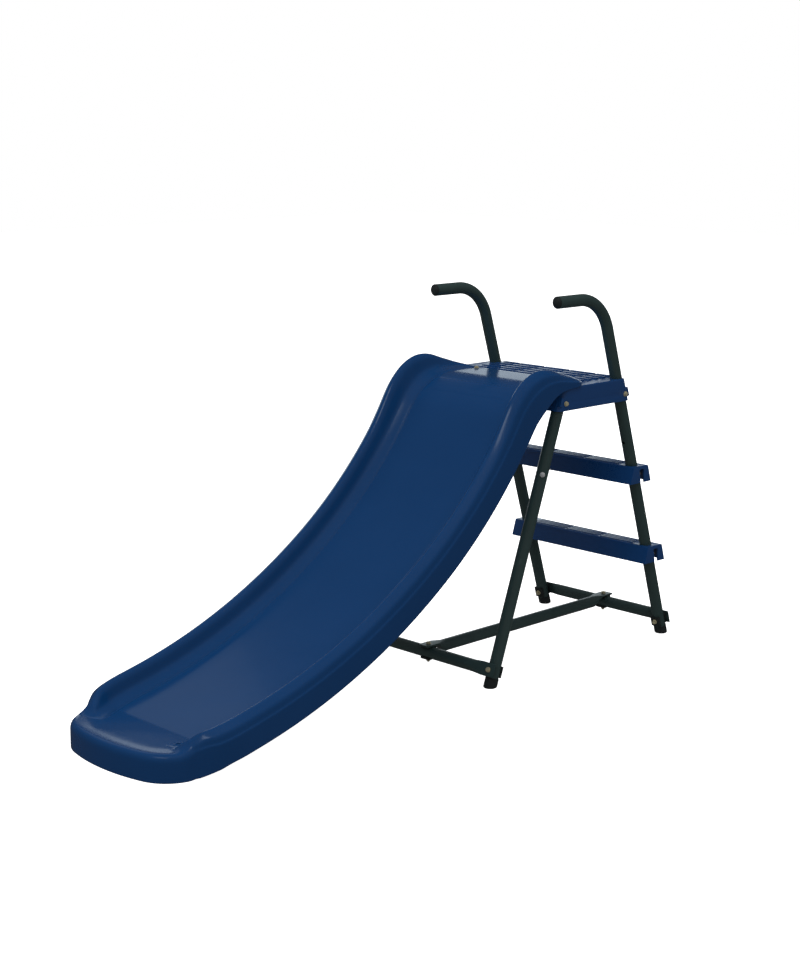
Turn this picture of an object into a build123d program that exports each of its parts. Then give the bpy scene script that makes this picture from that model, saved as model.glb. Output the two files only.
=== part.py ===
from build123d import *
import os
from math import cos, radians, sin, tan

# Children's straight slide on a two-legged ladder frame. Millimetres, +Z up.
# +X is to the right of a child sliding backwards up the chute, -Y is the way the chute runs out.
# The origin is on the ground, in the middle of the footprint. The design is laid out first about
# the deck (deck_y = 0 is the datum below) and every piece is moved to the origin when it is written.

# ---- driving dimensions -------------------------------------------------------------------------
TUBE_D = 32.0               # all frame tube
TUBE_WALL = 1.5
TRACK = 430.0               # between the two side frames, tube centre to tube centre
DECK_Z = 748.0              # top of the platform
DECK_SPAN = 215.4           # from front leg axis to rear upright axis at deck height
REAR_DECK_Y = 119.3         # rear upright axis at deck height
REAR_LEAN = 17.72           # degrees from vertical
FRONT_LEAN = 19.31

HANDLE_RISE = 217.0         # axis of the level handle above the deck
HANDLE_BEND_R = 118.0
HANDLE_REACH = 178.0        # from the corner of the bend's two tangents to the handle's end
PLUG_DOME = 8.0

PLASTIC = 4.0               # wall of the moulded platform, steps and chute
PLATFORM_SIDE = 6.0         # apron side face beyond the tubes
PLATFORM_END = 3.0          # apron front and rear faces beyond the tubes
APRON_H = 60.0
CORNER_R = 20.0
FIT = 0.4                   # radial clearance of a tube in a moulded hole
BOSS_IN = 5.0               # moulded boss inboard of the tube, where the bolt pulls up
BOSS_WALL = 1.5             # boss beyond the tube on each side, along the deck
BOSS_H = 24.0
DECK_EDGE_R = 3.0
PLATFORM_BOLT_DROP = 41.0   # below the deck

RIB_ROWS = 5                # raised grip ribs across the deck
RIB_PITCH = 29.6
RIB_W = 12.0
RIB_H = 3.0
RIB_BAYS = 5
RIB_BAY = 90.0
RIB_MARGIN = 9.0            # from the ribs' ends to the tubes
RIB_GAP = 8.0               # between two bays
RIB_INSET = 9.0             # last rib's middle from the deck's rear edge
RIB_ROOT = 1.0              # how far a rib is sunk into the face it stands on

STEP_TOPS = (503.0, 270.0)  # tread heights, upper and lower
STEP_END = 12.0             # end face beyond the tube
STEP_TREAD = 60.0
STEP_FOOT = 88.0
STEP_H = 46.0
STEP_WEB = 4.0              # cross wall inboard of each tube, which the bolt pulls against
STEP_BOLT_DROP = 24.0
STEP_EDGE_R = 6.0
STEP_RIB_ROWS = 4           # raised grip ribs along the tread
STEP_RIB_PITCH = 11.5
STEP_RIB_W = 6.0
STEP_RIB_H = 1.6
STEP_BAYS = 3
STEP_BAY_GAP = 8.0
STEP_RIB_MARGIN = 16.0      # from the ribs' ends to the tubes
NOTCH_DROP = 9.0            # wrench notch in each end wall, its top below the tread
NOTCH_TOP = (-7.0, 13.0)    # its sides there, along the tread's width
NOTCH_FOOT = (0.0, 15.0)    # and at the foot
NOTCH_R = 5.0

BAR_Z = 48.0                # crossbar axis
BAR_FLAT_T = 5.0            # crushed tube end
BAR_FLARE = 4.0             # how much broader the crushed end is than the tube
BAR_CRUSH = 26.0            # length over which the round tube becomes flat
BAR_OVERHANG = 20.0         # flat end beyond the leg axis
BAR_SPARE = 4.0             # and that much more on the inner side
SADDLE_LONG = 28.0
SADDLE_IN = 1.0             # saddle's side inside the tube's
SADDLE_GRIP = 5.0           # how far a saddle reaches down the tube's side
SADDLE_BASE = 1.5           # thickness under a nut
SADDLE_FIT = 0.05           # radial, on the tube

CAP_WALL = 1.5
CAP_TOP = 24.0              # rim of the foot cap above the ground, on the leg axis
CAP_SOLE = 5.0
CAP_EDGE_R = 4.0
CAP_BELOW = 20.0            # how far the cap's blank reaches before the ground cuts it

CHUTE_GAP = 1.5             # chute skirt outside the platform apron
RIM_H = 47.0                # rim crest above the bed
SKIRT = 39.0                # skirt below the bed
FLANGE_REAR = -10.0         # rear edge of the flange that lies on the deck
FLANGE_SPARE = 0.77         # level flange beyond the platform's front edge
WING_TIP = -59.0            # where the flange's cut corner meets its side
WING_IN = 52.0              # how far that corner is cut in
BROW_R = 186.0              # convex bend at the top
STEEP = 55.0                # steepest slope, degrees
STEEP_RUN = 42.0
MID_SLOPE = 36.0            # where the upper and lower sweeps meet
LOWER_R = 1547.0
RUNOUT_SLOPE = 13.0
RUNOUT = 123.6
LEVEL_R = 250.0             # last bend, to level
LIP_FLOOR = 52.0            # bed above the ground at the exit
LIP_TAPER = 30.0            # each side
LIP_LENGTH = 81.0
LIP_CORNER_R = 58.0
LIP_BOW = 27.0              # bow of the front edge
LIP_EDGE_R = 3.0

M6_R = 3.0
M6_HOLE = 3.3
M6_FLATS = 10.0
M6_HEAD = 4.0
M6_NUT = 5.0
NUT_CLEAR = 0.05            # radial, round the thread
WASHER_R = 7.0
WASHER_T = 1.2
WING_SCREW_IN = 96.5        # from the chute's side
WING_SCREW_Y = -34.0
SHANK_SPARE = 3.0           # thread beyond the nut
TIE_HOLE_Z = 573.0
TIE_HOLE_R = 4.25
LEG_SCREW_Z = 527.0
LEG_SCREW_HEAD = 7.0
LEG_SCREW_DOME = 8.75       # radius of the domed head
LEG_SCREW_RISE = 0.9        # head's seat off the round tube
LEG_SCREW_R = 2.5
LEG_SCREW_LENGTH = 8.0
LEG_SCREW_CLEAR = 0.1
PLUG_STEM = 14.0
CRUSH_GAP = 0.4             # what the crushed walls lack of touching, each pair
PROUD = 1.0                 # how far a cutter stands out of the face it cuts

# ---- derived ------------------------------------------------------------------------------------
HANDLE_Z = DECK_Z + HANDLE_RISE
TUBE_R = TUBE_D / 2
LEG_X = TRACK / 2
FRONT_DECK_Y = REAR_DECK_Y - DECK_SPAN
PLATFORM_X = LEG_X + TUBE_R + PLATFORM_SIDE
FLANGE_FLAT = FLANGE_REAR - FRONT_DECK_Y + (TUBE_R + PLATFORM_END) / cos(radians(FRONT_LEAN)) + FLANGE_SPARE
BOSS_HALF = TUBE_R + BOSS_WALL
BAR_OFFSET = TUBE_R + SADDLE_BASE + BAR_FLAT_T / 2  # crossbar axis from the leg axis, square to the leg
BAR_FLAT_H = TUBE_D + BAR_FLARE
SADDLE_WIDE = TUBE_D - 2 * SADDLE_IN
CAP_R = TUBE_R + CAP_WALL
BOSS_X = LEG_X - TUBE_R - BOSS_IN
CHUTE_X = PLATFORM_X + CHUTE_GAP + PLASTIC
WING_SCREW_X = CHUTE_X - WING_SCREW_IN
RIB_FIELD = TRACK - TUBE_D - 2 * RIB_MARGIN
STEP_LENGTH = TRACK + TUBE_D + 2 * STEP_END
STEP_BAY = (TRACK - TUBE_D - 2 * STEP_RIB_MARGIN) / STEP_BAYS
LIP_X = CHUTE_X - LIP_TAPER
SIDES = (("left", -1), ("right", 1))


def rear_y(z):
    """Rear upright axis."""
    return REAR_DECK_Y + (DECK_Z - z) * tan(radians(REAR_LEAN))


def front_y(z):
    """Front leg axis."""
    return FRONT_DECK_Y - (DECK_Z - z) * tan(radians(FRONT_LEAN))


def rod(radius, start, end):
    """Solid cylinder between two points."""
    start, end = Vector(*start), Vector(*end)
    run = end - start
    return extrude(Plane(start, z_dir=run) * Circle(radius), run.length)


def oriented(shape, point, direction, across=(1, 0, 0)):
    """Moves a shape whose own +Z is `direction` and own origin is `point`."""
    return Plane(point, x_dir=across, z_dir=direction).location * shape


# ---- fasteners: head above the local origin, shank below it ---------------------------------------
def hexagon(height, bore=0.0):
    face = RegularPolygon(M6_FLATS / 2, 6, major_radius=False)
    solid = extrude(face, height)
    return solid - extrude(Circle(bore), height) if bore else solid


def hex_bolt(grip):
    shank = grip + M6_NUT + SHANK_SPARE
    return hexagon(M6_HEAD) + Pos(0, 0, -shank) * extrude(Circle(M6_R), shank)


def nut(grip):
    return Pos(0, 0, -grip - M6_NUT) * hexagon(M6_NUT, M6_R + NUT_CLEAR)


def washer(z):
    return Pos(0, 0, z) * extrude(Circle(WASHER_R) - Circle(M6_HOLE), WASHER_T)


def hole(length, radius=M6_HOLE):
    """Cutter through everything on both sides of the local origin."""
    return Pos(0, 0, -length) * extrude(Circle(radius), 2 * length)


# ---- where the bolts are: (point under the head, outward direction, grip) --------------------------
def platform_bolts():
    grip = PLATFORM_X - BOSS_X
    z = DECK_Z - PLATFORM_BOLT_DROP
    places = [(side, y_of(z)) for _, side in SIDES for y_of in (rear_y, front_y)]
    return [((side * PLATFORM_X, y, z), (side, 0, 0), grip) for side, y in places]


def step_bolts():
    grip = 2 * TUBE_R + STEP_WEB + FIT
    rows = [top - STEP_BOLT_DROP for top in STEP_TOPS]
    return [((side * (LEG_X + TUBE_R), rear_y(z), z), (side, 0, 0), grip) for _, side in SIDES for z in rows]


def leg_frame(lean, y_of, outward):
    """The point on a leg axis beside the crossbar, and the crossbar's own direction from it."""
    angle = radians(lean)
    normal = (0, outward * cos(angle), sin(angle))
    z = BAR_Z - BAR_OFFSET * sin(angle)
    return (y_of(z), z), normal


REAR_BAR = leg_frame(REAR_LEAN, rear_y, 1)
FRONT_BAR = leg_frame(FRONT_LEAN, front_y, -1)
BARS = (("front", FRONT_BAR), ("rear", REAR_BAR))


def bar_centre(bar):
    (y, z), normal = bar
    return y + BAR_OFFSET * normal[1], z + BAR_OFFSET * normal[2]


def from_leg(bar, side, distance):
    (y, z), normal = bar
    return (side * LEG_X, y + distance * normal[1], z + distance * normal[2])


# ---- frame tubes -----------------------------------------------------------------------------------
def foot_end(y_of):
    """Lower end of a leg tube, inside its cap."""
    z = CAP_SOLE + TUBE_R * sin(radians(max(REAR_LEAN, FRONT_LEAN)))
    return y_of(z), z


def drill_frame_tube(tube, side, bolts, bar):
    cutter = hole(TUBE_D + 3 * PLASTIC)
    for point, direction, _ in bolts:
        if point[0] * side > 0:
            tube -= oriented(cutter, (side * LEG_X, point[1], point[2]), direction, (0, 0, 1))
    tube -= oriented(hole(TUBE_D), from_leg(bar, side, 0), bar[1])
    return tube


def handle_corner():
    return rear_y(HANDLE_Z), HANDLE_Z


def handle_end():
    y, z = handle_corner()
    return y - HANDLE_REACH, z


def upright(side):
    """Ladder upright and handle: one bent tube."""
    x = side * LEG_X
    y0, z0 = foot_end(rear_y)
    yc, zc = handle_corner()
    ye, ze = handle_end()
    path = FilletPolyline((x, y0, z0), (x, yc, zc), (x, ye, ze), radius=HANDLE_BEND_R)
    ring = Circle(TUBE_R) - Circle(TUBE_R - TUBE_WALL)
    tube = sweep(Plane(path @ 0, z_dir=path % 0) * ring, path=path)
    rear = [b for b in platform_bolts() if b[0][1] > 0] + step_bolts()
    tube = drill_frame_tube(tube, side, rear, REAR_BAR)
    if side > 0:
        tube -= oriented(hole(TUBE_D, TIE_HOLE_R), (x, rear_y(TIE_HOLE_Z), TIE_HOLE_Z), REAR_BAR[1])
    return tube


def front_leg(side):
    x = side * LEG_X
    y0, z0 = foot_end(front_y)
    top = DECK_Z - PLASTIC - 2 - TUBE_R * sin(radians(FRONT_LEAN))
    tube = rod(TUBE_R, (x, y0, z0), (x, front_y(top), top))
    tube -= rod(TUBE_R - TUBE_WALL, (x, y0, z0), (x, front_y(top), top))
    tube = drill_frame_tube(tube, side, [b for b in platform_bolts() if b[0][1] < 0], FRONT_BAR)
    bore = hole(TUBE_R / 2, LEG_SCREW_R + LEG_SCREW_CLEAR)
    return tube - oriented(bore, *leg_screw_place(side, TUBE_R))


def leg_screw_place(side, distance):
    """A point `distance` out from the front leg axis, towards the screw on its outer front face."""
    direction = Vector(side, -cos(radians(FRONT_LEAN)), sin(radians(FRONT_LEAN))).normalized()
    centre = Vector(side * LEG_X, front_y(LEG_SCREW_Z), LEG_SCREW_Z)
    return tuple(centre + direction * distance), tuple(direction), (side, 1, 0)


def leg_screw(side):
    base = LEG_SCREW_DOME - LEG_SCREW_HEAD / 2
    head = Sphere(LEG_SCREW_DOME) & Pos(0, 0, base + LEG_SCREW_DOME) * Box(*[2 * LEG_SCREW_DOME] * 3)
    head = Pos(0, 0, -base) * head
    shank = Pos(0, 0, -LEG_SCREW_LENGTH) * extrude(Circle(LEG_SCREW_R), LEG_SCREW_LENGTH + PROUD / 2)
    return oriented(head + shank, *leg_screw_place(side, TUBE_R + LEG_SCREW_RISE))


def foot_cap(side, y_of):
    """Moulded cap on a leg's end, with a level sole."""
    x = side * LEG_X
    low, high = -CAP_BELOW, CAP_TOP + CAP_BELOW
    body = rod(CAP_R, (x, y_of(low), low), (x, y_of(CAP_TOP), CAP_TOP))
    body -= Pos(x, y_of(0), low) * Box(6 * CAP_R, 6 * CAP_R, 2 * CAP_BELOW)
    body = fillet(body.edges().group_by(Axis.Z)[0], CAP_EDGE_R)
    y0, z0 = foot_end(y_of)
    return body - rod(TUBE_R, (x, y0, z0), (x, y_of(high), high))


def handle_plug(side):
    y, z = handle_end()
    squash = Sphere((TUBE_R**2 + PLUG_DOME**2) / (2 * PLUG_DOME))
    dome = squash & Pos(0, 0, squash.radius) * Box(3 * TUBE_D, 3 * TUBE_D, 2 * PLUG_DOME)
    dome = Pos(0, 0, PLUG_DOME - squash.radius) * dome
    stem = Pos(0, 0, -PLUG_STEM) * extrude(Circle(TUBE_R - TUBE_WALL), PLUG_STEM)
    return oriented(dome + stem, (side * LEG_X, y, z), (0, -1, 0))


# ---- crossbars, brace and their saddles ------------------------------------------------------------
def crushed_tube(length, end_flat, rise=0.0):
    """Tube along local X, its ends crushed: thin along local Z, broad along local Y, raised by `rise`."""
    half_round = length / 2 - end_flat - BAR_CRUSH

    def body(shrink, flat_h, flat_t):
        size = TUBE_D - 2 * shrink
        middle = Plane.YZ * RectangleRounded(size, size, size / 2 - 0.01)
        flat = Plane.YZ * Pos(0, rise) * RectangleRounded(flat_h, flat_t, flat_t / 2 - 0.01)
        solid = extrude(middle, half_round, both=True)
        flat_start = half_round + BAR_CRUSH
        for sign in (-1, 1):
            solid += loft([Pos(sign * half_round, 0, 0) * middle, Pos(sign * flat_start, 0, 0) * flat])
            plate = extrude(flat, end_flat / 2, both=True)
            solid += Pos(sign * (flat_start + end_flat / 2), 0, 0) * plate
        return solid

    gap = BAR_FLAT_T - 2 * TUBE_WALL - CRUSH_GAP
    return body(0, BAR_FLAT_H, BAR_FLAT_T) - body(TUBE_WALL, BAR_FLAT_H - 2 * TUBE_WALL, gap)


def crossbar(bar):
    tube = crushed_tube(2 * (LEG_X + BAR_OVERHANG), 2 * BAR_OVERHANG + BAR_SPARE)
    tube = oriented(tube, (0, *bar_centre(bar)), bar[1])
    for _, side in SIDES:
        tube -= oriented(hole(TUBE_D + 10), from_leg(bar, side, BAR_OFFSET), bar[1])
    y, z = bar_centre(bar)
    return tube - Pos(0, y, z) * hole(TUBE_D)


BRACE_Z = BAR_Z + TUBE_R + SADDLE_BASE + BAR_FLAT_T / 2


def brace():
    """Its ends are crushed to the top of the tube, so that it hangs between the crossbars."""
    y0, y1 = bar_centre(FRONT_BAR)[0], bar_centre(REAR_BAR)[0]
    rise = TUBE_R - BAR_FLAT_T / 2
    tube = crushed_tube(y1 - y0 + 2 * BAR_OVERHANG, 2 * BAR_OVERHANG + BAR_SPARE, rise)
    tube = Pos(0, (y0 + y1) / 2, BRACE_Z - rise) * Rot(0, 0, 90) * tube
    for y in (y0, y1):
        tube -= Pos(0, y, BRACE_Z) * hole(TUBE_D)
    return tube


def saddle(thickness_out):
    """Block between a round tube (axis along local X, through the local origin) and a flat above it."""
    low = TUBE_R - SADDLE_GRIP
    block = Box(SADDLE_WIDE, SADDLE_LONG, thickness_out - low)
    block = Pos(0, 0, (low + thickness_out) / 2) * block
    block -= Rot(0, 90, 0) * Cylinder(TUBE_R + SADDLE_FIT, 2 * SADDLE_WIDE)
    return block - hole(TUBE_D)


def leg_saddles(bar):
    """Outer saddle under each crushed crossbar end, inner saddle under each nut."""
    outer = BAR_OFFSET - BAR_FLAT_T / 2
    found = []
    for _, side in SIDES:
        for flip, reach in ((1, outer), (-1, TUBE_R + SADDLE_BASE)):
            normal = tuple(flip * c for c in bar[1])
            found.append(oriented(Rot(0, 0, 90) * saddle(reach), from_leg(bar, side, 0), normal))
    return found


def brace_saddles(bar):
    y, z = bar_centre(bar)
    upper = Pos(0, y, z) * saddle(BRACE_Z - BAR_FLAT_T / 2 - z)
    lower = Pos(0, y, z) * Rot(180, 0, 0) * saddle(TUBE_R + SADDLE_BASE)
    return [upper, lower]


def bar_bolts():
    outside = BAR_OFFSET + BAR_FLAT_T / 2
    grip = outside + TUBE_R + SADDLE_BASE
    places = [(bar, side) for _, bar in BARS for _, side in SIDES]
    return [(from_leg(bar, side, outside), bar[1], grip) for bar, side in places]


def brace_bolts():
    top = BRACE_Z + BAR_FLAT_T / 2
    grip = top - (BAR_Z - TUBE_R - SADDLE_BASE)
    return [((0, bar_centre(bar)[0], top), (0, 0, 1), grip) for _, bar in BARS]


# ---- platform --------------------------------------------------------------------------------------
def platform_block(inset, low, high):
    """Slab between two heights whose ends lean with the uprights and the front legs."""
    reach = TUBE_R + PLATFORM_END - inset
    rear = reach / cos(radians(REAR_LEAN))
    front = reach / cos(radians(FRONT_LEAN))
    corners = [
        (front_y(low) - front, low),
        (rear_y(low) + rear, low),
        (rear_y(high) + rear, high),
        (front_y(high) - front, high),
    ]
    side = Plane.YZ * make_face(Polyline(*corners, close=True))
    return extrude(side, PLATFORM_X - inset, both=True)


def platform_corners(block, inset):
    """Rounds the four standing edges about the tubes."""
    standing = [e for e in block.edges() if abs((e % 0).Z) > 0.5]
    return fillet(standing, CORNER_R - inset)


def deck_ribs():
    """Raised grip ribs, in bays, with their ends in line."""
    rear = REAR_DECK_Y + (TUBE_R + PLATFORM_END) / cos(radians(REAR_LEAN)) - RIB_INSET
    found = []
    for column in range(RIB_BAYS):
        middle = (column - (RIB_BAYS - 1) / 2) * RIB_BAY
        start = max(middle - (RIB_BAY - RIB_GAP) / 2, -RIB_FIELD / 2)
        end = min(middle + (RIB_BAY - RIB_GAP) / 2, RIB_FIELD / 2)
        rib = Box(end - start, RIB_W, RIB_H + RIB_ROOT)
        for row in range(RIB_ROWS):
            place = Pos((start + end) / 2, rear - row * RIB_PITCH, DECK_Z + (RIB_H - RIB_ROOT) / 2)
            found.append(place * rib)
    return found


def platform():
    low = DECK_Z - APRON_H
    shell = platform_corners(platform_block(0, low, DECK_Z), 0)
    shell = fillet(shell.faces().sort_by(Axis.Z)[-1].outer_wire().edges(), DECK_EDGE_R)
    shell -= platform_corners(platform_block(PLASTIC, low - 1, DECK_Z - PLASTIC), PLASTIC)
    for _, side in SIDES:
        for y_of in (rear_y, front_y):
            middle = DECK_Z - PLATFORM_BOLT_DROP
            tilt = REAR_LEAN if y_of is rear_y else -FRONT_LEAN
            wide = PLATFORM_X - PLASTIC / 2 - BOSS_X
            boss = Rot(tilt, 0, 0) * Box(wide, 2 * BOSS_HALF, BOSS_H)
            shell += Pos(side * (BOSS_X + wide / 2), y_of(middle), middle) * boss
            top = DECK_Z + 20 if y_of is rear_y else DECK_Z - PLASTIC - 1
            x, start = side * LEG_X, low - APRON_H
            shell -= rod(TUBE_R + FIT, (x, y_of(start), start), (x, y_of(top), top))
    shell += deck_ribs()
    for point, direction, _ in platform_bolts():
        shell -= oriented(hole(2 * TUBE_D), point, direction, (0, 0, 1))
    for _, side in SIDES:
        shell -= Pos(side * WING_SCREW_X, WING_SCREW_Y, DECK_Z) * hole(3 * PLASTIC)
    return shell


# ---- steps -----------------------------------------------------------------------------------------
def trough(inset, low, high):
    """Body of a tread along X: wide at the foot, narrower at the top."""
    foot, tread = STEP_FOOT / 2 - inset, STEP_TREAD / 2 - inset
    corners = [(-foot, low), (foot, low), (tread, high), (-tread, high)]
    return extrude(Plane.YZ * make_face(Polyline(*corners, close=True)), STEP_LENGTH / 2 - inset, both=True)


def step_ribs():
    """Raised grip ribs along the tread, in bays, on the plane z = 0."""
    rib = Box(STEP_BAY - STEP_BAY_GAP, STEP_RIB_W, STEP_RIB_H + RIB_ROOT)
    found = []
    for column in range(STEP_BAYS):
        x = (column - (STEP_BAYS - 1) / 2) * STEP_BAY
        for row in range(STEP_RIB_ROWS):
            y = (row - (STEP_RIB_ROWS - 1) / 2) * STEP_RIB_PITCH
            found.append(Pos(x, y, (STEP_RIB_H - RIB_ROOT) / 2) * rib)
    return found


def wrench_notch():
    """Cutter for the notch in both end walls that lets a wrench reach the bolt heads, tread top at z = 0."""
    foot = -STEP_H - 1
    corners = [(y, foot) for y in NOTCH_FOOT] + [(y, -NOTCH_DROP) for y in reversed(NOTCH_TOP)]
    face = make_face(Polyline(*corners, close=True))
    face = fillet(face.vertices().group_by(Axis.Y)[-1], NOTCH_R)
    slots = extrude(Plane.YZ * face, STEP_LENGTH, both=True)
    return slots - Box(2 * (LEG_X + TUBE_R), STEP_LENGTH, 4 * STEP_H)


def step(top):
    """Moulded tread: an inverted trough that both uprights pass through, closed at its ends."""
    tread = trough(0, -STEP_H, 0)
    tread = fillet(tread.edges().filter_by(Axis.X).group_by(Axis.Z)[-1], STEP_EDGE_R)
    hollow = trough(PLASTIC, -STEP_H - 0.01, -PLASTIC)
    webs = []
    for _, side in SIDES:
        inner = LEG_X - TUBE_R - FIT - STEP_WEB / 2
        webs.append(hollow & Pos(side * inner, 0, -STEP_H / 2) * Box(STEP_WEB, 2 * STEP_FOOT, STEP_H))
    tread = tread - hollow + webs + step_ribs() - wrench_notch()
    tread = Pos(0, rear_y(top - STEP_H / 2), top) * tread
    for _, side in SIDES:
        x, low, high = side * LEG_X, top - 2 * STEP_H, top + STEP_H
        tread -= rod(TUBE_R + FIT, (x, rear_y(low), low), (x, rear_y(high), high))
    for point, direction, _ in step_bolts():
        inward = Vector(*point) - Vector(*direction) * STEP_H
        tread -= rod(M6_HOLE, point, tuple(inward))
    return tread


# ---- chute -----------------------------------------------------------------------------------------
# Rim profile: distance in from the chute's side, and height as a share of the rim's own height.
RIM_PROFILE = (
    (87.5, 0.0), (54.5, 0.26), (49.5, 0.36), (41.5, 0.79), (35.5, 0.96),
    (29.5, 1.0), (21.5, 0.96), (5.5, 0.70), (0.0, 0.57),
)
# Share of the brow bend, rim height and skirt depth there.
BROW = ((0.0, 34, 11), (0.2, 50, 19), (0.4, 61, 29), (0.6, 63, 36), (0.8, 59, 38), (1.0, 53, 39))
# Share of the flange's flat, rim and skirt.
FLANGE = ((0.0, 0, 5), (0.12, 2, 5), (0.54, 19, 5))
# Share of the level bend, share of the rim left, share of the taper left.
NOSE = ((0.25, 0.55, 0.62), (0.5, 0.28, 0.4), (0.75, 0.08, 0.18), (1.0, 0.0, 0.0))


def upper_radius():
    """Radius of the upper sweep: what is left of the drop after every other part of the bed."""
    drop = DECK_Z + PLASTIC - LIP_FLOOR
    steep, mid, low = radians(STEEP), radians(MID_SLOPE), radians(RUNOUT_SLOPE)
    drop -= BROW_R * (1 - cos(steep)) + STEEP_RUN * sin(steep) + LOWER_R * (cos(low) - cos(mid))
    drop -= RUNOUT * sin(low) + LEVEL_R * (1 - cos(low))
    return drop / (cos(mid) - cos(steep))


def advance(place, length, radius, to_slope):
    """Follows the bed from (y, z, slope): straight for `length`, or round `radius` to another slope."""
    y, z, slope = place
    a, b = radians(slope), radians(to_slope)
    if radius is None:
        return y - length * cos(a), z - length * sin(a), slope
    turn = 1 if to_slope > slope else -1
    return (
        y - turn * radius * (sin(b) - sin(a)),
        z - turn * radius * (cos(a) - cos(b)),
        to_slope,
    )


def stations():
    """(y, z, slope, half width, rim, skirt) all the way down the bed."""
    found = []
    rear = (FLANGE_REAR, DECK_Z + PLASTIC, 0.0)
    for share, rim, skirt in FLANGE:
        found.append((*advance(rear, share * FLANGE_FLAT, None, 0), CHUTE_X, rim, skirt))
    place = advance(rear, FLANGE_FLAT, None, 0)
    for share, rim, skirt in BROW:
        found.append((*advance(place, 0, BROW_R, share * STEEP), CHUTE_X, rim, skirt))
    place = advance(found[-1][:3], STEEP_RUN, None, 0)
    found.append((*place, CHUTE_X, 0.5 * (BROW[-1][1] + RIM_H), SKIRT))
    for radius, start, end, spans in (
        (upper_radius(), STEEP, MID_SLOPE, 6), (LOWER_R, MID_SLOPE, RUNOUT_SLOPE, 7)
    ):
        for span in range(1, spans + 1):
            slope = start + (end - start) * span / spans
            found.append((*advance(place, 0, radius, slope), CHUTE_X, RIM_H, SKIRT))
        place = found[-1][:3]
    for share, rim, wide in ((0.7, 1.0, 0.93), (1.0, 0.82, 0.8)):
        here = advance(place, share * RUNOUT, None, 0)
        found.append((*here, LIP_X + wide * LIP_TAPER, rim * RIM_H, SKIRT + (1 - wide) * 10))
    place = found[-1][:3]
    for share, rim, wide in NOSE:
        y, z, slope = advance(place, 0, LEVEL_R, RUNOUT_SLOPE * (1 - share))
        ground = z / cos(radians(slope))
        skirt = ground + (SKIRT - LIP_FLOOR + 6) * (1 - share)
        found.append((y, z, slope, LIP_X + wide * LIP_TAPER, rim * RIM_H, skirt))
    return found


def inner_line(points, wall):
    """Offsets an open outline to its inner side by the wall, with mitred corners."""
    found = []
    for index, point in enumerate(points):
        before = points[max(index - 1, 0)]
        after = points[min(index + 1, len(points) - 1)]
        normals = []
        for a, b in ((before, point), (point, after)):
            run = Vector(b[0] - a[0], b[1] - a[1])
            if run.length > 1e-9:
                normals.append(Vector(run.Y, -run.X) / run.length)
        first, last = normals[0], normals[-1]
        mitre = (first + last) / (1 + first.dot(last))
        found.append((point[0] + wall * mitre.X, point[1] + wall * mitre.Y))
    return found


def chute_section(y, z, slope, half, rim, skirt):
    """Thin-walled section square to the bed: bed, cove, steep inner wall, rolled rim and skirt."""
    right = [(half - inward, share * rim) for inward, share in RIM_PROFILE] + [(half, -skirt)]
    left = [(-x, n) for x, n in reversed(right)]
    top = left + right
    under = inner_line(top, PLASTIC)
    a = radians(slope)
    plane = Plane((0, y, z), x_dir=(1, 0, 0), z_dir=(0, -cos(a), -sin(a)))
    return plane * make_face(Polyline(*top, *reversed(under), close=True))


def lip_block(y, inset, back, height):
    """Plan outline of the exit lip as a block: tapering sides, round corners and a bowed front."""
    half, front = LIP_X - inset, y - LIP_LENGTH + inset
    shoulder = front + LIP_BOW
    outline = Polyline((half, shoulder), (half, back), (-half, back), (-half, shoulder))
    outline += ThreePointArc((-half, shoulder), (0, front), (half, shoulder))
    face = make_face(outline)
    corners = face.vertices().group_by(Axis.Y)[0]
    return extrude(fillet(corners, LIP_CORNER_R - inset), height)


def chute():
    places = stations()
    body = loft([chute_section(*place) for place in places], ruled=True)
    y = places[-1][0]
    lip = lip_block(y, 0, y, LIP_FLOOR)
    lip = fillet([e for e in lip.edges().group_by(Axis.Z)[-1] if e.center().Y < y - 1], LIP_EDGE_R)
    body += lip - Pos(0, 0, -1) * lip_block(y, PLASTIC, y + 5, LIP_FLOOR - PLASTIC + 1)
    for _, side in SIDES:
        x, tip, rear = side * (CHUTE_X + 1), WING_TIP, FLANGE_REAR + 1
        corner = Polyline((x, tip), (x, rear), (x - side * (WING_IN + 1), rear), close=True)
        body -= Pos(0, 0, DECK_Z - 20) * extrude(make_face(corner), 60)
        body -= Pos(side * WING_SCREW_X, WING_SCREW_Y, DECK_Z) * hole(3 * PLASTIC)
    return body


def wing_screws():
    grip = 2 * PLASTIC
    place = (WING_SCREW_Y, DECK_Z + PLASTIC)
    return [((side * WING_SCREW_X, *place), (0, 0, 1), grip) for _, side in SIDES]


# ---- assembly --------------------------------------------------------------------------------------
def fastener_nodes(name, places, washers=True):
    """Bolts, nuts and washers of one joint, each a group of separate solids."""
    lift = WASHER_T if washers else 0.0
    nodes = {f"{name}_bolts": [], f"{name}_nuts": []}
    if washers:
        nodes[f"{name}_washers"] = []
    for point, direction, grip in places:
        across = (0, 0, 1) if abs(direction[0]) > 0.5 else (1, 0, 0)
        place = Plane(point, x_dir=across, z_dir=direction).location
        nodes[f"{name}_bolts"].append(place * Pos(0, 0, lift) * hex_bolt(grip + 2 * lift))
        nodes[f"{name}_nuts"].append(place * Pos(0, 0, -lift) * nut(grip))
        if washers:
            nodes[f"{name}_washers"] += [place * washer(0), place * washer(-grip - WASHER_T)]
    return nodes


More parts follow.
